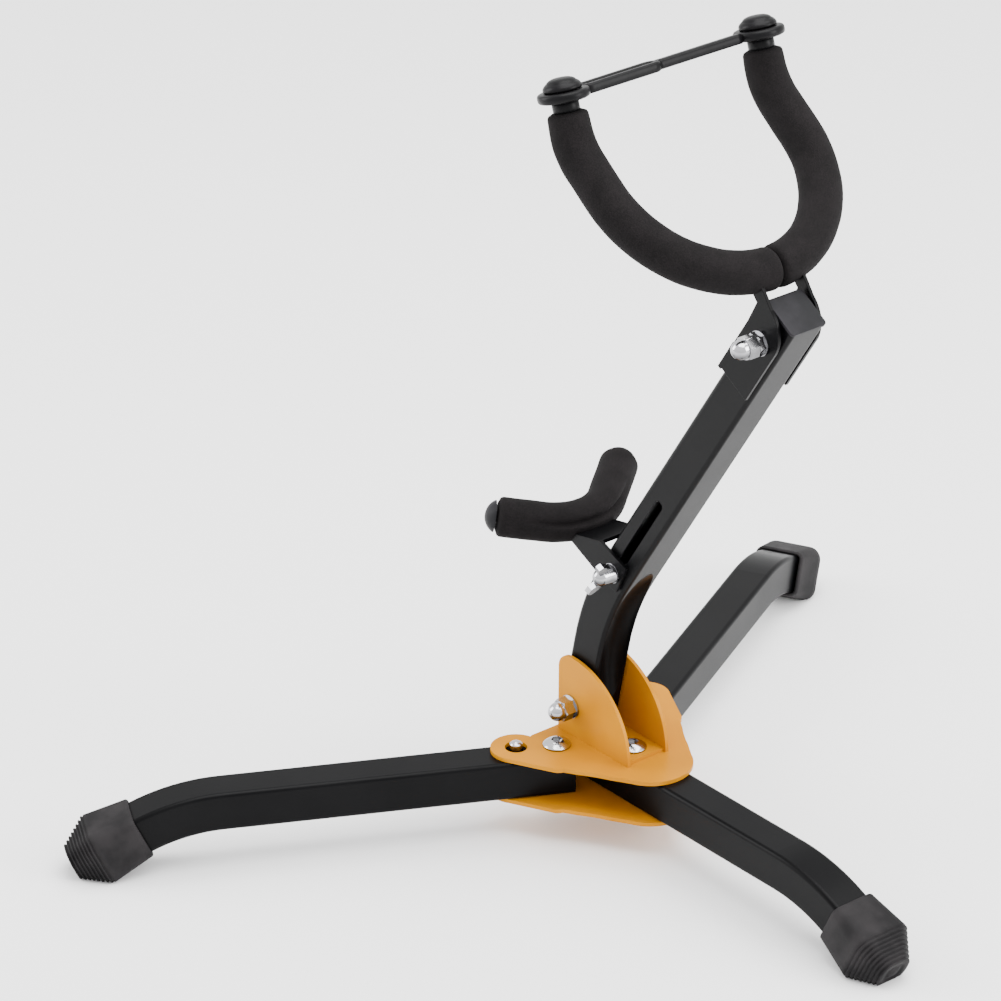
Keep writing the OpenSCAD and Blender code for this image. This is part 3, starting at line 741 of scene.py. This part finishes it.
def foot_ring(x, half, corner):
    """A round-cornered rectangle across the foot, a little wider than high."""
    ring = []
    for quarter, (side, rise) in enumerate(((1, 1), (-1, 1), (-1, -1), (1, -1))):
        for k in range(CORNER_STEPS + 1):
            angle = math.radians(90 * quarter + 90 * k / CORNER_STEPS)
            ring.append(Vector((x, side * (half * WIDER - corner) + corner * math.cos(angle),
                                rise * (half - corner) + corner * math.sin(angle))))
    return ring


def foot_sections():
    """(x, half height, corner radius) from the mouth to the tip, which is dished."""
    yield from ((16 * MM, GRIP_HALF, 2 * MM), (0.6 * MM, GRIP_HALF, 2 * MM),
                (0.0, GRIP_HALF + 0.4 * MM, 2.4 * MM), (0.0, MOUTH - 0.6 * MM, 3.4 * MM),
                (0.5 * MM, MOUTH, 4.0 * MM))
    for i in range(1, FLARE_STEPS + 1):
        part = i / FLARE_STEPS
        yield (0.5 * MM + part * (FLARE_LEN - 0.5 * MM),
               MOUTH + (FLARE - 0.3 * MM - MOUTH) * part, (4 + 3 * part) * MM)
    for i in range(RIDGES):
        x = FLARE_LEN + i * RIDGE_LEN
        low = FLARE - (i + 0.95) * TAPER
        high = FLARE - (i + 0.3) * TAPER
        yield from ((x + 0.15 * MM, low, 6.5 * MM), (x + 0.55 * RIDGE_LEN, low, 6.5 * MM),
                    (x + 0.62 * RIDGE_LEN, high - 0.1 * MM, 6.8 * MM),
                    (x + 0.95 * RIDGE_LEN, high - 0.25 * MM, 6.8 * MM))
    tip = FLARE_LEN + RIDGES * RIDGE_LEN
    small = FLARE - (RIDGES + 0.6) * TAPER
    yield from ((tip - 0.1 * MM, small - 0.6 * MM, 5 * MM), (tip, small - 2.0 * MM, 4 * MM),
                (tip - 0.5 * MM, small - 2.6 * MM, 3.6 * MM),
                (tip - 0.5 * MM, small - 4.2 * MM, 2 * MM), (tip, small - 4.8 * MM, 1.2 * MM))


# %% [markdown]
# One function places a foot for any leg: out along the leg, round the leg's bend, and down. The
# three legs differ only in where they start, which way they point and how far they run straight.

# %% Rubber feet
LEG_BEND_R = 93 * MM
LEG_Z = 30 * MM
SPREAD = 117.5
REAR_STRAIGHT, FRONT_STRAIGHT = 127 * MM, 163.4 * MM


def rubber_foot(name, leg_place, leg_angle, straight):
    """A foot at the end of a leg whose bend starts straight metres out from leg_place."""
    bend = math.radians(LEG_BEND)
    to_foot = (Matrix.Translation(leg_place) @ Matrix.Rotation(math.radians(leg_angle), 4, "Z")
               @ Matrix.Translation((straight + LEG_BEND_R * math.sin(bend), 0,
                                     -LEG_BEND_R * (1 - math.cos(bend))))
               @ Matrix.Rotation(bend, 4, "Y"))
    rings = [[to_foot @ point for point in foot_ring(*section)] for section in foot_sections()]
    for ring in rings:
        for point in ring:
            point.z = max(point.z, 0.0)
    return skin_tubes(name, [(rings, False)])


right_pivot = Vector(joints["right_leg_swing"]["pos_m"])
left_pivot = Vector(joints["left_leg_swing"]["pos_m"])
for word, place, angle, straight, body in (
        ("rear", Vector((hub.x, 0, LEG_Z)), 0, REAR_STRAIGHT, "hub"),
        ("right", right_pivot, -SPREAD, FRONT_STRAIGHT, "right_leg"),
        ("left", left_pivot, SPREAD, FRONT_STRAIGHT, "left_leg")):
    foot = rubber_foot(word + "_rubber_foot", place, angle, straight)
    paint(foot, "foot_rubber")
    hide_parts(word + "_foot")
    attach(foot, body)
    print(foot.name, len(foot.data.vertices), "vertices")

# %% [markdown]
# The floor is the last finish: plain, pale and matt, with only enough tone for the stand's shadow.

# %% Floor finish
paper = Finish("floor_paper", Roughness=0.9)
paper.drive(Base_Color=paper.blend(paper.grain(220, 1),
                                   (0.93, 0.93, 0.93, 1), (0.95, 0.95, 0.95, 1)))
floor.data.materials.append(paper.material)
print("floor finished")
